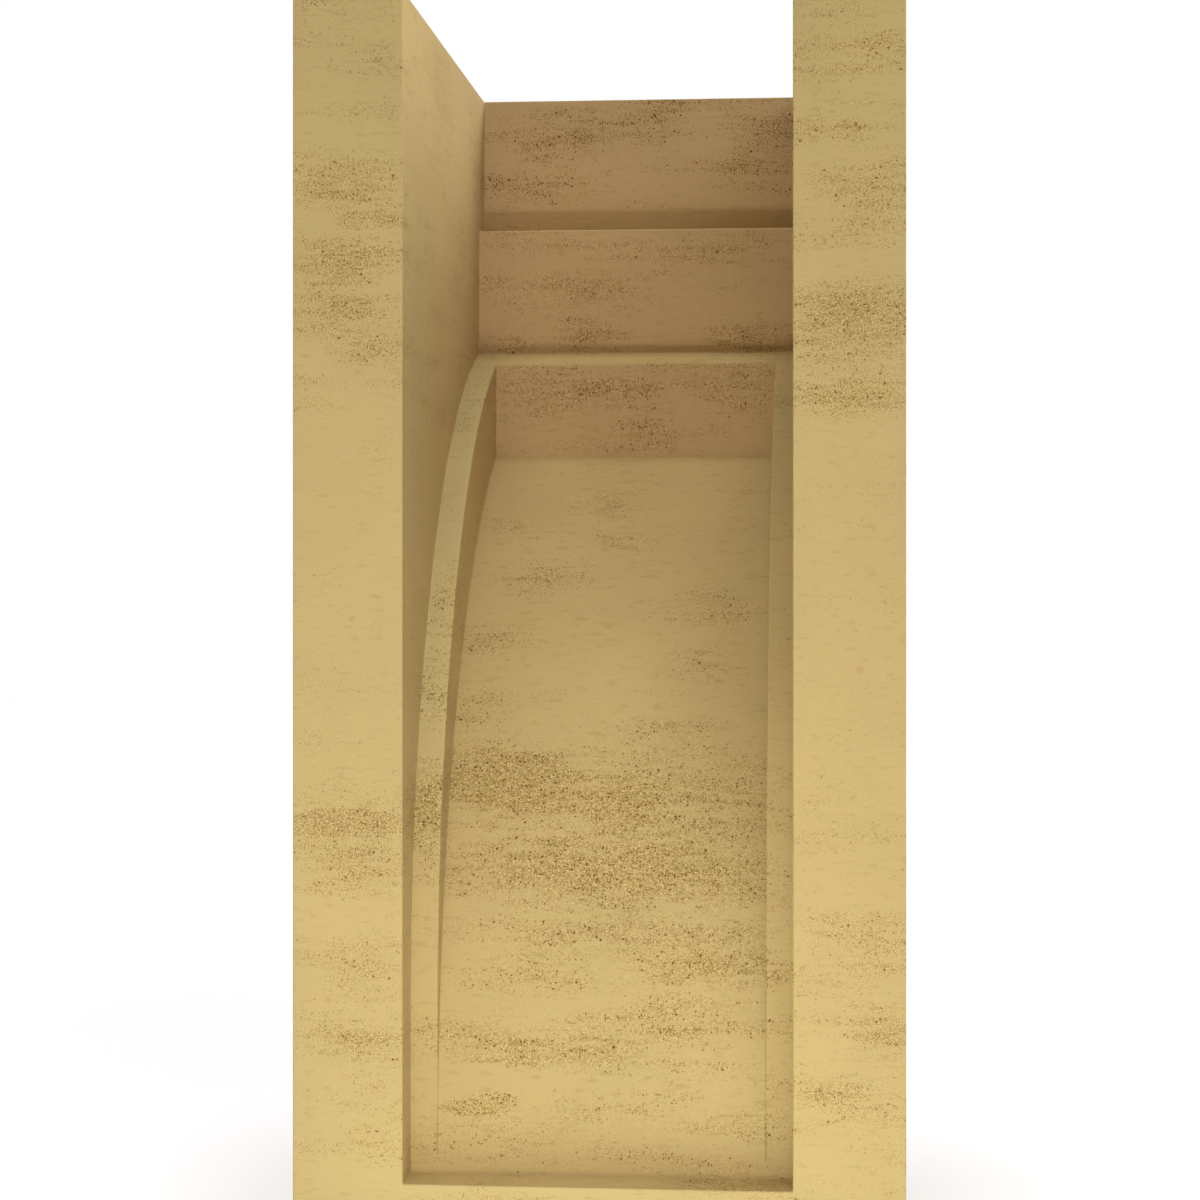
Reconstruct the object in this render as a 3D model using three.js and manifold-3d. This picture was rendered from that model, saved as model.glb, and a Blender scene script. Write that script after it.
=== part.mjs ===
// A hollow cast-stone corbel: a one-piece bracket with a stepped fascia, a cove
// below it and a raised panel down its front. The hollow inside follows the
// outer form one wall in, and is open at the back and at the top.
//
// Millimetres, +Z up, +X to the right as seen from the front. The wall face lies
// on Y = 0 and the front looks along -Y. The origin is on the wall face, in the
// middle of the web that closes the hollow at the bottom.

import * as THREE from 'three';
import { mergeVertices } from 'three/addons/utils/BufferGeometryUtils.js';
import Module from 'manifold-3d';

// Overall size
const WIDTH = 139.7;
const HEIGHT = 298.45;

// Thickness of the casting: side walls, front wall and bottom web
const WALL = 25.4;

// How far each front face stands out from the wall
const FASCIA_PROJECTION = 177.8;
const NECK_PROJECTION = 165.1;
const PANEL_PROJECTION = 152.4;
const FOOT_PROJECTION = 38.1;

// Heights of the upright faces, from the top down
const FASCIA_HEIGHT = 63.5;
const NECK_HEIGHT = 30.1;
const FOOT_HEIGHT = 62.5;

// The raised panel: its upright head below the neck, its upright foot, and the
// border of plain cove left beside it
const PANEL_HEAD_HEIGHT = 26.1;
const PANEL_FOOT_HEIGHT = 28.1;
const PANEL_REVEAL = 6.35;

// Facets along each cove
const COVE_SEGMENTS = 28;

// How far a cutting shape runs past the open faces of the hollow
const CUT_OVERRUN = 10;

const STONE_COLOUR = 0xd3b878;
const STONE_ROUGHNESS = 0.9;

const wasm = await Module();
wasm.setup();

// The heights below are measured up from the underside of the corbel.
const fasciaUnderside = HEIGHT - FASCIA_HEIGHT;
const neckUnderside = fasciaUnderside - NECK_HEIGHT;
const panelHeadUnderside = neckUnderside - PANEL_HEAD_HEIGHT;

// A cove that leaves the foot's face upright, where the foot ends, and meets the
// edge above it. Two points and that tangent fix the circle.
function coveBetween(footProjection, footTop, edgeProjection, edgeHeight) {
  const run = edgeProjection - footProjection;
  const rise = edgeHeight - footTop;
  const radius = (run * run + rise * rise) / (2 * run);
  return { projection: footProjection + radius, height: footTop, radius };
}

const mainCove = coveBetween(FOOT_PROJECTION, FOOT_HEIGHT, NECK_PROJECTION, neckUnderside);
const panelCove = coveBetween(
  FOOT_PROJECTION, PANEL_FOOT_HEIGHT, PANEL_PROJECTION, panelHeadUnderside
);

// Adds the curve of a cove to an outline, from the upright face above it down to
// the foot. The inset moves it into the casting on the same centre.
function addCove(outline, cove, edgeProjection, inset) {
  const radius = cove.radius + inset;
  const across = cove.projection - (edgeProjection - inset);
  const startAngle = Math.PI - Math.acos(across / radius);
  outline.absarc(cove.projection, cove.height, radius, startAngle, Math.PI, false);
}

// Side outline of the fascia, neck, cove and foot. An inset of 0 gives the
// outside, and an inset of one wall gives the hollow, which runs past the two
// open faces.
function bodyOutline(inset) {
  const overrun = inset > 0 ? CUT_OVERRUN : 0;
  const outline = new THREE.Shape();
  outline.moveTo(-overrun, inset);
  outline.lineTo(-overrun, HEIGHT + overrun);
  outline.lineTo(FASCIA_PROJECTION - inset, HEIGHT + overrun);
  outline.lineTo(FASCIA_PROJECTION - inset, fasciaUnderside + inset);
  outline.lineTo(NECK_PROJECTION - inset, fasciaUnderside + inset);
  addCove(outline, mainCove, NECK_PROJECTION, inset);
  outline.lineTo(FOOT_PROJECTION - inset, inset);
  return outline;
}

// Side outline of the raised panel. Its top is buried in the neck.
function panelOutline(inset) {
  const overrun = inset > 0 ? CUT_OVERRUN : 0;
  const outline = new THREE.Shape();
  outline.moveTo(-overrun, inset);
  outline.lineTo(-overrun, fasciaUnderside + inset);
  outline.lineTo(PANEL_PROJECTION - inset, fasciaUnderside + inset);
  addCove(outline, panelCove, PANEL_PROJECTION, inset);
  outline.lineTo(FOOT_PROJECTION - inset, inset);
  return outline;
}

// Turns a side outline, drawn as projection against height, into a solid of the
// given width that is centred across the corbel.
function slab(outline, width) {
  const geometry = new THREE.ExtrudeGeometry(outline, {
    depth: width,
    steps: 1,
    curveSegments: COVE_SEGMENTS,
    bevelEnabled: false,
  });
  geometry.translate(0, 0, -width / 2);
  const out = new THREE.Vector3(0, -1, 0);
  const up = new THREE.Vector3(0, 0, 1);
  const across = new THREE.Vector3(-1, 0, 0);
  geometry.applyMatrix4(new THREE.Matrix4().makeBasis(out, up, across));
  return solidOf(geometry);
}

// A geometry as a solid that can be joined and cut
function solidOf(geometry) {
  const bare = geometry.clone();
  bare.deleteAttribute('normal');
  bare.deleteAttribute('uv');
  const merged = mergeVertices(bare);
  return new wasm.Manifold(new wasm.Mesh({
    numProp: 3,
    vertProperties: Float32Array.from(merged.attributes.position.array),
    triVerts: Uint32Array.from(merged.index.array),
  }));
}

// A solid as a flat-shaded geometry
function geometryOf(solid) {
  const { vertProperties, triVerts } = solid.getMesh();
  const indexed = new THREE.BufferGeometry();
  indexed.setAttribute('position', new THREE.BufferAttribute(vertProperties, 3));
  indexed.setIndex(new THREE.BufferAttribute(triVerts, 1));
  const faceted = indexed.toNonIndexed();
  faceted.computeVertexNormals();
  return faceted;
}

// The casting: the outer form less the hollow
function castBody() {
  const panelWidth = WIDTH - 2 * PANEL_REVEAL;
  const outside = slab(bodyOutline(0), WIDTH).add(slab(panelOutline(0), panelWidth));
  const hollow = slab(bodyOutline(WALL), WIDTH - 2 * WALL)
    .add(slab(panelOutline(WALL), panelWidth - 2 * WALL));
  return geometryOf(outside.subtract(hollow));
}

function makeCorbel() {
  const stone = new THREE.MeshStandardMaterial({
    color: STONE_COLOUR,
    roughness: STONE_ROUGHNESS,
    metalness: 0,
  });
  const corbel = new THREE.Mesh(castBody(), stone);
  corbel.name = 'corbel';
  corbel.position.z = -WALL / 2;
  return corbel;
}

const model = new THREE.Group();
model.add(makeCorbel());

export default model;
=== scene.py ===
import math

import bmesh
import bpy
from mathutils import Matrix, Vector


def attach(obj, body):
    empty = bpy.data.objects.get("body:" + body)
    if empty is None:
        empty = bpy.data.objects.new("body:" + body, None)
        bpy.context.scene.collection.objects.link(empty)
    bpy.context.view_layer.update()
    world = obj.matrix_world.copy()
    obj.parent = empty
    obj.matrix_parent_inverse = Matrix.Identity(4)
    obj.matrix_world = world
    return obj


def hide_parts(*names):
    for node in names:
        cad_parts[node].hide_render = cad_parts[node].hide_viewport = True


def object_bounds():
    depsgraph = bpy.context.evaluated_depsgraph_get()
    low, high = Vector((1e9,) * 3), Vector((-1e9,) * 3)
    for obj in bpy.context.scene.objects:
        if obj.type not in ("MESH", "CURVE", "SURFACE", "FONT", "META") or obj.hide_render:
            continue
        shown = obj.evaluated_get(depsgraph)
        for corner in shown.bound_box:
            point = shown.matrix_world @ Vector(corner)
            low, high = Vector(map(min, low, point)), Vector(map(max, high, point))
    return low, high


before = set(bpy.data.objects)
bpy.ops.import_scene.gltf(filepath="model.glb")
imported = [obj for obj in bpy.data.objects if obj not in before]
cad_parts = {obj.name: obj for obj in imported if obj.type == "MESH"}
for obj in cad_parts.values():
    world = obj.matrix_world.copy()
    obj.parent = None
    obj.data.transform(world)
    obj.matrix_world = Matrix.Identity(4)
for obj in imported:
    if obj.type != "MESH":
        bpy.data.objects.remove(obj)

cad_low, cad_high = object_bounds()


# The casting: the whole corbel, one hollow piece of cast stone with a stepped fascia, a cove and a
# raised panel. It is poured in a mould and rubbed down, so its faces are flat and every arris is
# only just eased.
CASTING_NODE = "corbel"
ARRIS_RADIUS = 0.0004
ARRIS_SEGMENTS = 2

# Faces that lie within the first angle are one flat face. An edge sharper than the second is an arris,
# and one blunter than the third belongs to a smooth curve.
FLAT_WITHIN = math.radians(0.2)
ARRIS_FROM = math.radians(20)
SMOOTH_BELOW = math.radians(8)

# Points of the solid closer than this are one point.
SAME_POINT = 1e-6

# An arris is eased in full where the edges that it meets are at least this many radii long.
FULL_EASING_FROM = 3


def cleaned_solid(node):
    """The solid's faces, each in one piece, with the cove's facets kept."""
    work = bmesh.new()
    work.from_mesh(node.data)
    bmesh.ops.remove_doubles(work, verts=work.verts, dist=SAME_POINT)
    bmesh.ops.dissolve_limit(work, angle_limit=FLAT_WITHIN, verts=work.verts, edges=work.edges)
    return work


def weigh_arrises(work):
    """Gives each arris its share of the easing. A step that runs out to nothing has less."""
    share = work.edges.layers.float.new("bevel_weight_edge")
    for edge in work.edges:
        if len(edge.link_faces) == 2 and edge.calc_face_angle() > ARRIS_FROM:
            beside = [
                other.calc_length()
                for vertex in edge.verts
                for other in vertex.link_edges
                if other is not edge
            ]
            edge[share] = min(1.0, min(beside) / (FULL_EASING_FROM * ARRIS_RADIUS))


def make_casting():
    work = cleaned_solid(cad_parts[CASTING_NODE])
    weigh_arrises(work)
    mesh = bpy.data.meshes.new("corbel_casting")
    work.to_mesh(mesh)
    work.free()
    casting = bpy.data.objects.new("corbel_casting", mesh)
    bpy.context.scene.collection.objects.link(casting)

    easing = casting.modifiers.new("eased_arrises", "BEVEL")
    easing.limit_method = "WEIGHT"
    easing.width = ARRIS_RADIUS
    easing.segments = ARRIS_SEGMENTS
    easing.use_clamp_overlap = False
    evaluated = casting.evaluated_get(bpy.context.evaluated_depsgraph_get())
    eased = bpy.data.meshes.new_from_object(evaluated)
    casting.modifiers.clear()
    casting.data = eased
    eased.shade_smooth()
    eased.set_sharp_from_angle(angle=SMOOTH_BELOW)
    return casting


def linear(hex_colour):
    """An sRGB hex colour as a linear RGBA tuple."""
    shares = [int(hex_colour[i:i + 2], 16) / 255 for i in (1, 3, 5)]
    return (*[s / 12.92 if s <= 0.04045 else ((s + 0.055) / 1.055) ** 2.4 for s in shares], 1.0)


def add_node(tree, kind, settings=None, inputs=None):
    """Adds a node with its settings. An input is a value or the socket that it is linked from."""
    made = tree.nodes.new(kind)
    for name, value in (settings or {}).items():
        setattr(made, name, value)
    for name, value in (inputs or {}).items():
        if isinstance(value, bpy.types.NodeSocket):
            tree.links.new(value, made.inputs[name])
        else:
            made.inputs[name].default_value = value
    return made


# The stone's colours: clean, in a bed of pits, inside a pit, and where it has rusted
STONE = "#BEA569"
BED_STONE = "#BBA163"
PIT_SHADE = "#6C4A0E"
RUST = "#B58B4C"

# Sizes in the stone's pattern are in millimetres, apart from those given on the photo.
MM_PER_METRE = 1000

# The photo's camera: level, behind the corbel and a little to one side, with a long lens. The photo's
# middle lies just off the lens axis.
CAMERA_BACK = 0.63005
CAMERA_ASIDE = -0.05267
CAMERA_BELOW_TOP = 0.13465
CAMERA_TURN = 0.0907
SENSOR = 36.0
FOCAL_LENGTH = 83.604
SHIFT_ACROSS = 0.01996
SHIFT_UP = -0.01826
CAMERA_PLACE = Vector((CAMERA_ASIDE, cad_high.y + CAMERA_BACK, cad_high.z - CAMERA_BELOW_TOP))
FORWARD = Vector((math.sin(CAMERA_TURN), -math.cos(CAMERA_TURN), 0))
UPWARD = Vector((0, 0, 1))

# The photo is a square of this many pixels.
PHOTO_PIXELS = 1200


def shown_at(casting, from_left, from_top):
    """The place on the casting that a pixel of the photo shows, and the size of a pixel there, in mm."""
    widths_across = from_left / PHOTO_PIXELS - 0.5 + SHIFT_ACROSS
    widths_up = 0.5 - from_top / PHOTO_PIXELS + SHIFT_UP
    aside = widths_across * FORWARD.cross(UPWARD) + widths_up * UPWARD
    ray = FORWARD + aside * SENSOR / FOCAL_LENGTH
    depsgraph = bpy.context.evaluated_depsgraph_get()
    place = casting.ray_cast(CAMERA_PLACE, ray, depsgraph=depsgraph)[1]
    photo_width = (place - CAMERA_PLACE).dot(FORWARD) * SENSOR / FOCAL_LENGTH
    return place * MM_PER_METRE, photo_width * MM_PER_METRE / PHOTO_PIXELS


# The pitted beds that the photo shows, in its pixels: the middle, from the left and from
# the top, the half width and half height, and how thick with pits the bed is
PITTED_BEDS = (
    # back edge of the wall on the +X side, from the top down
    ((347, 188), (75, 30), 0.5),
    ((375, 218), (50, 14), 0.8),
    ((345, 258), (80, 30), 0.6),
    ((335, 308), (75, 36), 0.5),
    ((375, 352), (55, 28), 0.3),
    ((347, 822), (85, 16), 1.2),
    ((345, 858), (80, 40), 0.4),
    ((365, 970), (60, 45), 0.3),
    ((360, 1038), (60, 22), 0.3),
    # back edge of the wall on the -X side
    ((885, 40), (50, 18), 0.3),
    ((845, 128), (70, 14), 0.4),
    ((880, 204), (58, 54), 0.3),
    ((860, 312), (95, 42), 0.8),
    ((855, 356), (90, 27), 0.3),
    ((850, 396), (85, 31), 0.5),
    ((870, 948), (85, 44), 0.3),
    ((885, 1040), (50, 40), 0.3),
    ((832, 1094), (45, 16), 0.4),
    # hollow behind the fascia
    ((575, 132), (120, 36), 0.3),
    ((535, 150), (30, 18), 0.4),
    ((662, 110), (30, 22), 0.5),
    ((745, 166), (60, 20), 0.4),
    ((770, 125), (60, 40), 0.3),
    ((540, 190), (80, 24), 0.3),
    # hollow behind the neck
    ((520, 240), (90, 22), 0.2),
    ((720, 245), (80, 25), 0.2),
    ((590, 335), (50, 24), 0.3),
    ((745, 338), (60, 22), 0.5),
    # head of the recess behind the panel
    ((560, 388), (130, 32), 0.3),
    ((640, 425), (40, 50), 0.3),
    ((735, 385), (70, 30), 0.3),
    # coves of the hollow, down to its floor
    ((465, 421), (23, 15), 0.3),
    ((616, 506), (38, 23), 0.3),
    ((504, 521), (34, 15), 0.2),
    ((620, 543), (47, 19), 0.2),
    ((546, 578), (71, 24), 0.3),
    ((447, 607), (25, 58), 0.3),
    ((718, 611), (60, 32), 0.2),
    ((700, 660), (61, 29), 0.2),
    ((490, 640), (60, 24), 0.3),
    ((430, 692), (30, 50), 0.4),
    ((475, 710), (55, 30), 0.3),
    ((670, 727), (80, 18), 0.3),
    ((500, 778), (95, 42), 1.1),
    ((640, 800), (220, 70), 0.5),
    ((610, 872), (240, 42), 0.8),
    ((426, 810), (35, 60), 0.7),
    ((625, 933), (197, 34), 0.3),
    ((700, 970), (100, 26), 0.4),
    ((526, 976), (94, 26), 0.3),
    ((665, 1022), (75, 30), 0.25),
    ((540, 1048), (120, 20), 0.4),
    ((482, 1104), (45, 18), 1.0),
)

# The density of pits that a bed adds at its middle, where it is as thick with them as 1, and the little
# that clean stone has
BED_DENSITY = 1.9
CLEAN_DENSITY = 0.02

# How deep a bed goes into the stone, and how far and how often its edges wander
BED_DEPTH = 25
RAGGED_BY = (10, 10, 5)
RAGGED_SPACING = 9


def placed_beds(tree, place, casting):
    """The density of pits that the beds in the list give, each laid on the casting to the nearest
    millimetre, with ragged edges."""
    ragged = add_node(tree, "ShaderNodeTexNoise", inputs={
        "Vector": place, "Scale": 1 / RAGGED_SPACING, "Detail": 2,
    }).outputs["Color"]
    ragged = add_node(tree, "ShaderNodeVectorMath", {"operation": "SUBTRACT"}, {
        0: ragged, 1: (0.5, 0.5, 0.5),
    }).outputs[0]
    ragged = add_node(tree, "ShaderNodeVectorMath", {"operation": "MULTIPLY_ADD"}, {
        0: ragged, 1: RAGGED_BY, 2: place,
    }).outputs[0]
    density = CLEAN_DENSITY
    for (from_left, from_top), half_size, thickness in PITTED_BEDS:
        middle, pixel = shown_at(casting, from_left, from_top)
        middle = [round(m) for m in middle]
        across, up = [round(half * pixel) for half in half_size]
        shares = (1 / across, 1 / BED_DEPTH, 1 / up)
        in_bed = add_node(tree, "ShaderNodeVectorMath", {"operation": "MULTIPLY_ADD"}, {
            0: ragged, 1: shares, 2: [-m * s for m, s in zip(middle, shares)],
        }).outputs[0]
        in_bed = add_node(tree, "ShaderNodeTexGradient", {"gradient_type": "SPHERICAL"}, {
            "Vector": in_bed,
        }).outputs["Fac"]
        density = add_node(tree, "ShaderNodeMath", {"operation": "MULTIPLY_ADD"}, {
            0: in_bed, 1: BED_DENSITY * thickness, 2: density,
        }).outputs[0]
    return density


# Fainter level beds all over: their size, and the noise at which one begins and is full
LEVEL_BED = (40, 40, 8)
LEVEL_FROM, LEVEL_FULL = 0.42, 0.70

# They are weak near this height, half way up, within the first distance from it, and stronger beyond
# the second.
CLEAN_HEIGHT = 143
WEAK_WITHIN, STRONG_BEYOND = 35, 55
WEAK_BEDS, STRONG_BEDS = 0.15, 0.45

# They are this much stronger on the faces that look neither back nor across the hollow, where the list
# has no bed.
HIDDEN_BEDS = 2.4

# A face looks back where its normal's Y is above this.
BACK_FROM = 0.2

# A face looks across the hollow where its normal's X times its place's X is below the first of these.
ACROSS_BELOW, NOT_ACROSS = -2, -1


def with_level_beds(tree, place, along, facing, density):
    """The density of pits with the fainter level beds added."""
    outward = add_node(tree, "ShaderNodeMath", {"operation": "MULTIPLY"}, {
        0: facing["X"], 1: along["X"],
    }).outputs[0]
    strongest = add_node(tree, "ShaderNodeMapRange", inputs={
        "Value": outward, "From Min": ACROSS_BELOW, "From Max": NOT_ACROSS,
        "To Min": 1, "To Max": HIDDEN_BEDS,
    }).outputs[0]
    hidden = add_node(tree, "ShaderNodeMapRange", inputs={
        "Value": facing["Y"], "From Min": BACK_FROM, "From Max": 0, "To Min": 1, "To Max": strongest,
    }).outputs[0]
    midway = add_node(tree, "ShaderNodeMath", {"operation": "SUBTRACT"}, {
        0: along["Z"], 1: CLEAN_HEIGHT,
    }).outputs[0]
    midway = add_node(tree, "ShaderNodeMath", {"operation": "ABSOLUTE"}, {0: midway}).outputs[0]
    midway = add_node(tree, "ShaderNodeMapRange", inputs={
        "Value": midway, "From Min": WEAK_WITHIN, "From Max": STRONG_BEYOND,
        "To Min": WEAK_BEDS, "To Max": STRONG_BEDS,
    }).outputs[0]
    strength = add_node(tree, "ShaderNodeMath", {"operation": "MULTIPLY"}, {
        0: hidden, 1: midway,
    }).outputs[0]
    level = add_node(tree, "ShaderNodeVectorMath", {"operation": "DIVIDE"}, {
        0: place, 1: LEVEL_BED,
    }).outputs[0]
    level = add_node(tree, "ShaderNodeTexNoise", inputs={
        "Vector": level, "Scale": 1, "Detail": 2,
    }).outputs["Fac"]
    level = add_node(tree, "ShaderNodeMapRange", inputs={
        "Value": level, "From Min": LEVEL_FROM, "From Max": LEVEL_FULL, "To Min": 0, "To Max": 1,
    }).outputs[0]
    return add_node(tree, "ShaderNodeMath", {"operation": "MULTIPLY_ADD"}, {
        0: strength, 1: level, 2: density,
    }).outputs[0]


# Loose level streaks inside a bed: their size, the noise between and in them, and the share of the bed's
# density that each has
STREAK = (12, 12, 1.8)
GAP_NOISE, STREAK_NOISE = 0.36, 0.64
GAP_SHARE, STREAK_SHARE = 0.3, 1.4


def with_streaks(tree, place, density):
    """The density of pits, gathered in streaks and held between nought and one."""
    streak = add_node(tree, "ShaderNodeVectorMath", {"operation": "DIVIDE"}, {
        0: place, 1: STREAK,
    }).outputs[0]
    streak = add_node(tree, "ShaderNodeTexNoise", inputs={
        "Vector": streak, "Scale": 1, "Detail": 3, "Roughness": 0.6,
    }).outputs["Fac"]
    streak = add_node(tree, "ShaderNodeMapRange", inputs={
        "Value": streak, "From Min": GAP_NOISE, "From Max": STREAK_NOISE,
        "To Min": GAP_SHARE, "To Max": STREAK_SHARE,
    }).outputs[0]
    return add_node(tree, "ShaderNodeMath", {"operation": "MULTIPLY", "use_clamp": True}, {
        0: density, 1: streak,
    }).outputs[0]


# Pits, coarse to fine: the spacing of their centres, their radius, how dark they are, how common, and
# the density from which on a bed has them. The finest pits of such stone are too fine to show, so here
# none is drawn less than 0.4 mm wide.
PIT_GRADES = (
    (0.9, 0.36, 1.9, 0.28, 0.2),
    (0.65, 0.28, 1.2, 0.7, 0.05),
    (0.42, 0.2, 0.8, 1.2, 0.03),
)

# The share of a pit's radius that is flat bottom, and how far and how often its outline wanders
PIT_BOTTOM = 0.45
JITTER = 0.4
JITTER_SPACING = 0.6

# By chance a pit shows between these two strengths. The first of each pair holds where pits are sparse,
# and the second from this density up.
FAINTEST_PIT = (0.15, 0.35)
STRONGEST_PIT = (0.45, 1)
THICK_BED = 0.3


def open_pits(tree, place, density):
    """How dark the pits are: a dot round each centre that is by chance below the bed's density."""
    jitter = add_node(tree, "ShaderNodeTexNoise", inputs={
        "Vector": place, "Scale": 1 / JITTER_SPACING, "Detail": 0,
    }).outputs["Color"]
    jitter = add_node(tree, "ShaderNodeVectorMath", {"operation": "MULTIPLY_ADD"}, {
        0: jitter, 1: (JITTER, JITTER, JITTER), 2: place,
    }).outputs[0]
    faintest, strongest = [
        add_node(tree, "ShaderNodeMapRange", inputs={
            "Value": density, "From Min": 0, "From Max": THICK_BED, "To Min": sparse, "To Max": thick,
        }).outputs[0]
        for sparse, thick in (FAINTEST_PIT, STRONGEST_PIT)
    ]
    pits = 0.0
    for spacing, radius, darkness, commonness, found_from in PIT_GRADES:
        dots = add_node(tree, "ShaderNodeTexVoronoi", inputs={
            "Vector": jitter, "Scale": 1 / spacing,
        })
        chance = add_node(tree, "ShaderNodeSeparateColor", inputs={0: dots.outputs["Color"]})
        likely = add_node(tree, "ShaderNodeMath", {"operation": "MULTIPLY_ADD"}, {
            0: density, 1: commonness, 2: -commonness * found_from,
        }).outputs[0]
        open_here = add_node(tree, "ShaderNodeMath", {"operation": "LESS_THAN"}, {
            0: chance.outputs["Red"], 1: likely,
        }).outputs[0]
        depth = add_node(tree, "ShaderNodeMapRange", inputs={
            "Value": dots.outputs["Distance"],
            "From Min": radius / spacing, "From Max": PIT_BOTTOM * radius / spacing,
            "To Min": 0, "To Max": darkness,
        }).outputs[0]
        depth = add_node(tree, "ShaderNodeMath", {"operation": "MULTIPLY"}, {
            0: depth, 1: open_here,
        }).outputs[0]
        strength = add_node(tree, "ShaderNodeMapRange", inputs={
            "Value": chance.outputs["Green"], "To Min": faintest, "To Max": strongest,
        }).outputs[0]
        depth = add_node(tree, "ShaderNodeMath", {"operation": "MULTIPLY"}, {
            0: depth, 1: strength,
        }).outputs[0]
        pits = add_node(tree, "ShaderNodeMath", {"operation": "MAXIMUM"}, {
            0: depth, 1: pits,
        }).outputs[0]
    return pits


# The body's own tones: wide soft blotches, faint level dashes and, in the beds, a grain of light and
# dark that tells most in blue. The real grain is too fine to show, so it is drawn as coarse as the
# finest pits.
BLOTCH_SPACING = 28
BLOTCH_TONES = (0.97, 1.03)
DASH = (4, 4, 1.2)
DASH_FROM, DASH_FULL = 0.58, 0.78
DASH_SHADE = -0.12
GRAIN_SPACING = 0.4
GRAIN_TONES = (-0.45, 0.36)
GRAIN_TINT = (0.9, 1.0, 1.8)

# The noise of blotches and grain that its lightest and darkest tones stand for
NOISE_LOW, NOISE_HIGH = 0.3, 0.7


def blotches(tree, place):
    """The brightness of the body in its wide soft blotches."""
    blotch = add_node(tree, "ShaderNodeTexNoise", inputs={
        "Vector": place, "Scale": 1 / BLOTCH_SPACING, "Detail": 2,
    }).outputs["Fac"]
    return add_node(tree, "ShaderNodeMapRange", inputs={
        "Value": blotch, "From Min": NOISE_LOW, "From Max": NOISE_HIGH,
        "To Min": BLOTCH_TONES[0], "To Max": BLOTCH_TONES[1],
    }).outputs[0]


def level_dashes(tree, place):
    """How much the faint level dashes take from the brightness."""
    dashes = add_node(tree, "ShaderNodeVectorMath", {"operation": "DIVIDE"}, {
        0: place, 1: DASH,
    }).outputs[0]
    dashes = add_node(tree, "ShaderNodeTexNoise", inputs={
        "Vector": dashes, "Scale": 1, "Detail": 1,
    }).outputs["Fac"]
    return add_node(tree, "ShaderNodeMapRange", inputs={
        "Value": dashes, "From Min": DASH_FROM, "From Max": DASH_FULL, "To Min": 0, "To Max": DASH_SHADE,
    }).outputs[0]


def fine_grain(tree, place):
    """How much the grain adds to the brightness or takes from it."""
    grain = add_node(tree, "ShaderNodeTexNoise", inputs={
        "Vector": place, "Scale": 1 / GRAIN_SPACING, "Detail": 1,
    }).outputs["Fac"]
    return add_node(tree, "ShaderNodeMapRange", inputs={
        "Value": grain, "From Min": NOISE_LOW, "From Max": NOISE_HIGH,
        "To Min": GRAIN_TONES[0], "To Max": GRAIN_TONES[1],
    }).outputs[0]


# Two faint casts of colour, fixed to the stone, that are painted light: they stand for what the light does
# in the hollow. A rosier one, a painted shade tint, comes up on upright faces between these two distances
# from the wall, and is strongest on those that look back.
ROSY_SHADE_BY = (0.04, -0.04, 0.12)
ROSY_SHADE_FROM, ROSY_SHADE_FULL = -50, -130

# A paler one, painted light, lies on the +X border of the hollow's cove, where the stone's normal has this
# much of Y. It comes up below the neck and fades out above the foot.
PALE_LIGHT_BY = (0.06, 0.15, 0.24)
PALE_LIGHT_FROM, PALE_LIGHT_FULL = -138, -105
FADE_FROM, FADE_END = -30, -13
BORDER_MIDDLE = 41.3
BORDER_HALF = 3.0
COVE_FACING = 0.05


def painted_light_casts(tree, along, facing):
    """The factor by which the two painted casts, the rosy painted shade tint and the pale painted light,
    change the body's colour.
    """
    level_face = add_node(tree, "ShaderNodeMath", {"operation": "ABSOLUTE"}, {
        0: facing["Z"],
    }).outputs[0]
    rosy_shade_weight = add_node(tree, "ShaderNodeMath", {"operation": "SUBTRACT"}, {
        0: 1, 1: level_face,
    }).outputs[0]
    rosy_shade_weight = add_node(tree, "ShaderNodeMapRange", inputs={
        "Value": facing["Y"], "From Min": -1, "From Max": 1, "To Min": 0, "To Max": rosy_shade_weight,
    }).outputs[0]
    rosy_shade = add_node(tree, "ShaderNodeMapRange", inputs={
        "Value": along["Y"], "From Min": ROSY_SHADE_FROM, "From Max": ROSY_SHADE_FULL, "To Min": 0, "To Max": rosy_shade_weight,
    }).outputs[0]
    pale_light = add_node(tree, "ShaderNodeMapRange", inputs={
        "Value": along["Y"], "From Min": PALE_LIGHT_FROM, "From Max": PALE_LIGHT_FULL, "To Min": 0, "To Max": 1,
    }).outputs[0]
    above_foot = add_node(tree, "ShaderNodeMapRange", inputs={
        "Value": along["Y"], "From Min": FADE_FROM, "From Max": FADE_END, "To Min": 1, "To Max": 0,
    }).outputs[0]
    on_border = add_node(tree, "ShaderNodeMath", {"operation": "COMPARE"}, {
        0: along["X"], 1: BORDER_MIDDLE, 2: BORDER_HALF,
    }).outputs[0]
    in_hollow = add_node(tree, "ShaderNodeMath", {"operation": "GREATER_THAN"}, {
        0: facing["Y"], 1: COVE_FACING,
    }).outputs[0]
    for limit in (above_foot, on_border, in_hollow):
        pale_light = add_node(tree, "ShaderNodeMath", {"operation": "MULTIPLY"}, {0: pale_light, 1: limit}).outputs[0]
    # the painted shade tint and the painted light, laid on the colour as one factor
    painted_tint = (1, 1, 1)
    for amount, tint in ((rosy_shade, ROSY_SHADE_BY), (pale_light, PALE_LIGHT_BY)):
        painted_tint = add_node(tree, "ShaderNodeVectorMath", {"operation": "MULTIPLY_ADD"}, {
            0: amount, 1: tint, 2: painted_tint,
        }).outputs[0]
    return painted_tint


# A few rust spots: how far apart they are, their radius and how strong they are in the middle
RUST_SPACING = 17
RUST_RADIUS = 1.3
RUST_STRENGTH = 0.8


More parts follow.
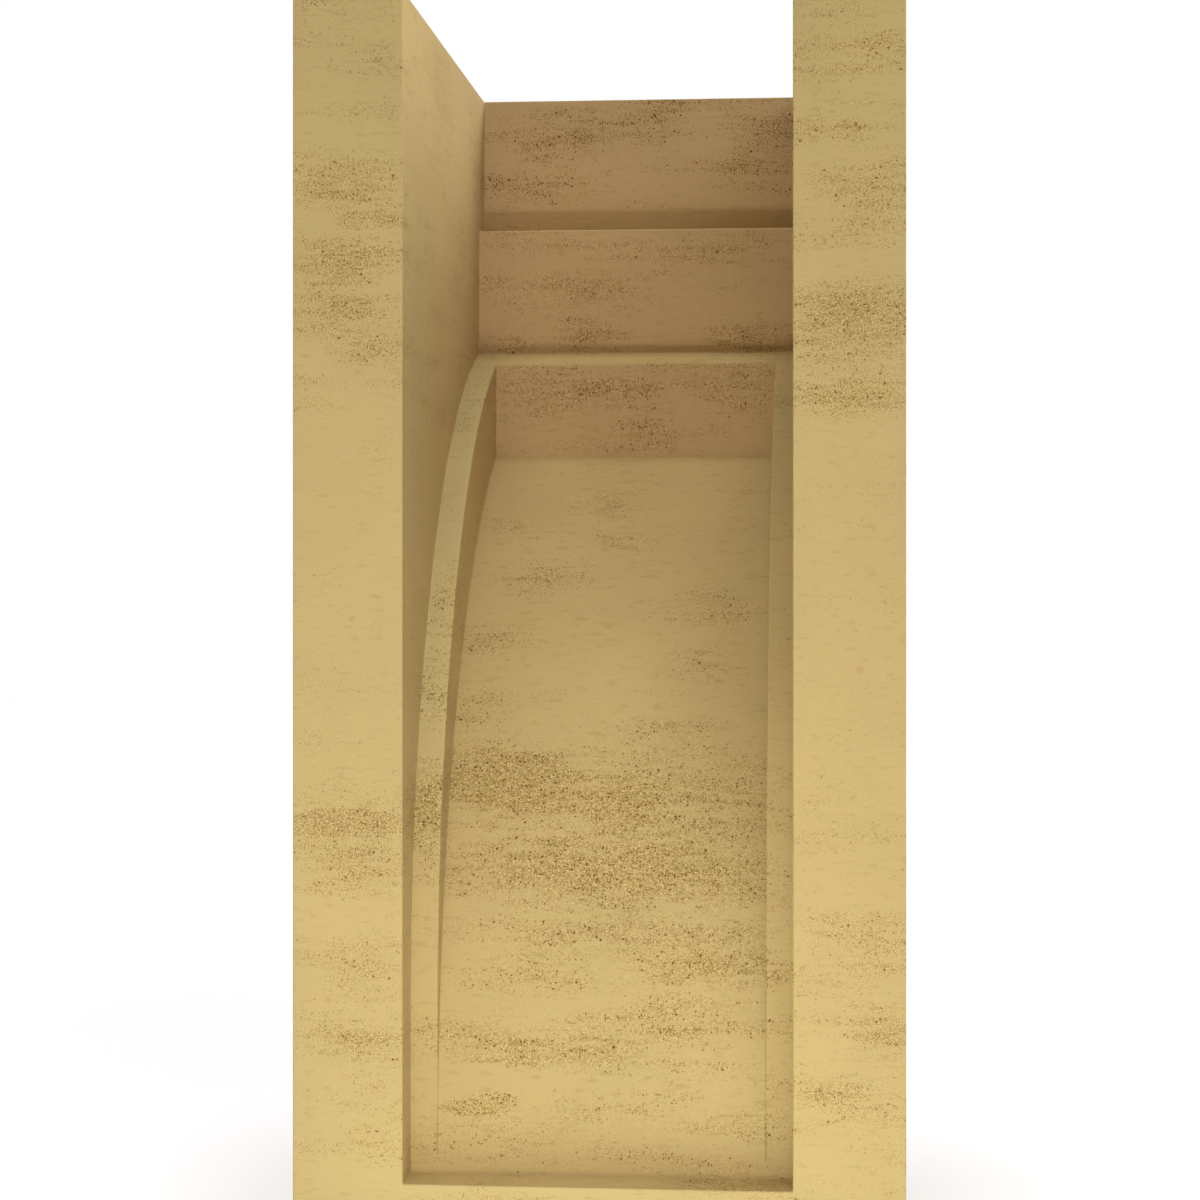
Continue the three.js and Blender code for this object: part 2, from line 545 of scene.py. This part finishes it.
def rust_spots(tree, place):
    """The share of rust in the colour."""
    spots = add_node(tree, "ShaderNodeTexVoronoi", inputs={
        "Vector": place, "Scale": 1 / RUST_SPACING,
    }).outputs["Distance"]
    return add_node(tree, "ShaderNodeMapRange", inputs={
        "Value": spots, "From Min": RUST_RADIUS / RUST_SPACING, "From Max": 0,
        "To Min": 0, "To Max": RUST_STRENGTH,
    }).outputs[0]


# A rubbed face is matt. The grain's relief is given in metres, as the shader takes it.
STONE_ROUGHNESS = 0.9
STONE_IOR = 1.5
RELIEF_STRENGTH = 0.3
RELIEF_DEPTH = 0.00005

# The sockets of a colour Mix node
MIX_SHARE, MIX_FROM, MIX_TO, MIXED = 0, 6, 7, 2


def cast_travertine(casting):
    """Cast stone with the look of travertine: level beds of small open pits, which give the eye
    brown specks in loose streaks on a smooth, matt tan face."""
    material = bpy.data.materials.new("cast_travertine")
    material.use_nodes = True
    tree = material.node_tree
    tree.nodes.clear()
    place = add_node(tree, "ShaderNodeTexCoord").outputs["Object"]
    place = add_node(tree, "ShaderNodeVectorMath", {"operation": "SCALE"}, {
        "Vector": place, "Scale": MM_PER_METRE,
    }).outputs[0]
    along = add_node(tree, "ShaderNodeSeparateXYZ", inputs={0: place}).outputs
    facing = add_node(tree, "ShaderNodeNewGeometry").outputs["True Normal"]
    facing = add_node(tree, "ShaderNodeSeparateXYZ", inputs={0: facing}).outputs

    # how thick with pits the stone is
    density = placed_beds(tree, place, casting)
    density = with_level_beds(tree, place, along, facing, density)
    density = with_streaks(tree, place, density)

    # the body's colour, with the painted shade and painted light of the two casts
    grain = fine_grain(tree, place)
    speckle = add_node(tree, "ShaderNodeMath", {"operation": "MULTIPLY_ADD"}, {
        0: grain, 1: density, 2: level_dashes(tree, place),
    }).outputs[0]
    tones = add_node(tree, "ShaderNodeVectorMath", {"operation": "MULTIPLY_ADD"}, {
        0: speckle, 1: GRAIN_TINT, 2: blotches(tree, place),
    }).outputs[0]
    body = add_node(tree, "ShaderNodeMix", {"data_type": "RGBA"}, {
        MIX_SHARE: density, MIX_FROM: linear(STONE), MIX_TO: linear(BED_STONE),
    }).outputs[MIXED]
    for factor in (tones, painted_light_casts(tree, along, facing)):
        body = add_node(tree, "ShaderNodeVectorMath", {"operation": "MULTIPLY"}, {
            0: body, 1: factor,
        }).outputs[0]

    # rust and pits on it
    surface = body
    for share, colour in ((rust_spots(tree, place), RUST), (open_pits(tree, place, density), PIT_SHADE)):
        surface = add_node(tree, "ShaderNodeMix", {"data_type": "RGBA"}, {
            MIX_SHARE: share, MIX_FROM: surface, MIX_TO: linear(colour),
        }).outputs[MIXED]

    relief = add_node(tree, "ShaderNodeBump", inputs={
        "Strength": RELIEF_STRENGTH, "Distance": RELIEF_DEPTH, "Height": grain,
    }).outputs["Normal"]
    shader = add_node(tree, "ShaderNodeBsdfPrincipled", inputs={
        "Base Color": surface,
        "Roughness": STONE_ROUGHNESS,
        "IOR": STONE_IOR,
        "Normal": relief,
    })
    add_node(tree, "ShaderNodeOutputMaterial", inputs={"Surface": shader.outputs["BSDF"]})
    return material


casting = make_casting()
casting.data.materials.clear()
casting.data.materials.append(cast_travertine(casting))
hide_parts(CASTING_NODE)
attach(casting, "root")


# The floor: a plain white studio sheet under the corbel, not part of it.
FLOOR_SIZE = 6.0
PAPER = "#FAFAFA"
PAPER_ROUGHNESS = 0.9


def make_floor():
    mesh = bpy.data.meshes.new("studio_floor")
    half = FLOOR_SIZE / 2
    corners = [(-half, -half), (half, -half), (half, half), (-half, half)]
    mesh.from_pydata([(x, y, cad_low.z) for x, y in corners], [], [(0, 1, 2, 3)])
    floor = bpy.data.objects.new("studio_floor", mesh)
    bpy.context.scene.collection.objects.link(floor)
    material = bpy.data.materials.new("white_paper")
    material.use_nodes = True
    tree = material.node_tree
    tree.nodes.clear()
    shader = add_node(tree, "ShaderNodeBsdfPrincipled", inputs={
        "Base Color": linear(PAPER),
        "Roughness": PAPER_ROUGHNESS,
    })
    add_node(tree, "ShaderNodeOutputMaterial", inputs={"Surface": shader.outputs["BSDF"]})
    mesh.materials.append(material)


make_floor()


# The studio: white all round to the eye. Its light comes from a bright horizon on the far side and a
# dimmer dome above it, with the camera's side dimmer still, from three large soft lamps, a long low one
# before the corbel's foot and a small card that lies on the floor. None is part of it.
FAR_HORIZON = 1.0
NEAR_HORIZON = 0.3
FAR_DOME = 0.3
NEAR_DOME = 0.1

# The horizon turns into the dome between these two heights, and its near side into its far side within
# this distance of the middle, all on a globe of radius 1.
HORIZON_TOP = 0.24
HORIZON_END = 0.36
SIDES_BLEND = 0.3

# Each far lamp: its bearing, from straight behind the corbel towards +X, its elevation and the width
# of its disc in degrees, then its colour and strength
FAR_LAMPS = {
    "overhead": (0, 88, 30, "#F8F8FF", 1.62),
    "far_right": (-120, 28, 36, "#FFFDFA", 1.99),
    "camera_side": (-30, 28, 36, "#F8F4FF", 0.57),
}

# Each near lamp: its place and the point it shines at, its width and height, its colour and its power.
# The card lies a millimetre above the floor and shines straight up.
CARD_LEVEL = -0.0117
NEAR_LAMPS = {
    "low_strip": ((0, 0.28, 0.01), (0, 0, 0.05), (0.16, 0.04), "#FCFAFF", 0.42),
    "floor_card": ((0, 0.05, CARD_LEVEL), (0, 0.05, 1), (0.14, 0.06), "#E5FFF7", 0.029),
}


def make_world():
    world = bpy.data.worlds.new("white_studio")
    bpy.context.scene.world = world
    world.use_nodes = True
    tree = world.node_tree
    tree.nodes.clear()
    towards = add_node(tree, "ShaderNodeTexCoord").outputs["Generated"]
    towards = add_node(tree, "ShaderNodeSeparateXYZ", inputs={0: towards})
    levels = [
        add_node(tree, "ShaderNodeMapRange", {"interpolation_type": "SMOOTHSTEP"}, {
            "Value": towards.outputs["Y"], "From Min": SIDES_BLEND, "From Max": -SIDES_BLEND,
            "To Min": near, "To Max": far,
        }).outputs[0]
        for near, far in ((NEAR_HORIZON, FAR_HORIZON), (NEAR_DOME, FAR_DOME))
    ]
    brightness = add_node(tree, "ShaderNodeMapRange", {"interpolation_type": "SMOOTHSTEP"}, {
        "Value": towards.outputs["Z"], "From Min": HORIZON_TOP, "From Max": HORIZON_END,
        "To Min": levels[0], "To Max": levels[1],
    }).outputs[0]
    seen = add_node(tree, "ShaderNodeLightPath").outputs["Is Camera Ray"]
    brightness = add_node(tree, "ShaderNodeMath", {"operation": "MAXIMUM"}, {
        0: seen, 1: brightness,
    }).outputs[0]
    sky = add_node(tree, "ShaderNodeBackground", inputs={"Color": (1, 1, 1, 1), "Strength": brightness})
    add_node(tree, "ShaderNodeOutputWorld", inputs={"Surface": sky.outputs["Background"]})
    bpy.context.scene.view_settings.view_transform = "Standard"


def make_far_lamps():
    for name, (bearing, elevation, width, colour, strength) in FAR_LAMPS.items():
        data = bpy.data.lights.new(name, "SUN")
        data.angle = math.radians(width)
        data.color = linear(colour)[:3]
        data.energy = strength
        lamp = bpy.data.objects.new(name, data)
        bpy.context.scene.collection.objects.link(lamp)
        across, up = math.radians(bearing), math.radians(elevation)
        shining = -Vector((math.cos(up) * math.sin(across), math.cos(up) * math.cos(across), math.sin(up)))
        lamp.rotation_euler = shining.to_track_quat("-Z", "Y").to_euler()


def make_near_lamps():
    for name, (place, target, (width, height), colour, power) in NEAR_LAMPS.items():
        data = bpy.data.lights.new(name, "AREA")
        data.shape = "RECTANGLE"
        data.size = width
        data.size_y = height
        data.color = linear(colour)[:3]
        data.energy = power
        lamp = bpy.data.objects.new(name, data)
        bpy.context.scene.collection.objects.link(lamp)
        lamp.location = place
        lamp.rotation_euler = (Vector(target) - Vector(place)).to_track_quat("-Z", "Y").to_euler()
        lamp.visible_camera = False


make_world()
make_far_lamps()
make_near_lamps()


# The camera: it stands where the photo's did, and sees nothing nearer than this.
NEAREST_SEEN = 0.01


def make_camera():
    data = bpy.data.cameras.new("photo_view")
    data.sensor_width = SENSOR
    data.lens = FOCAL_LENGTH
    data.shift_x = SHIFT_ACROSS
    data.shift_y = SHIFT_UP
    data.clip_start = NEAREST_SEEN
    camera = bpy.data.objects.new("photo_view", data)
    bpy.context.scene.collection.objects.link(camera)
    camera.location = CAMERA_PLACE
    camera.rotation_euler = FORWARD.to_track_quat("-Z", "Y").to_euler()
    bpy.context.scene.camera = camera


make_camera()
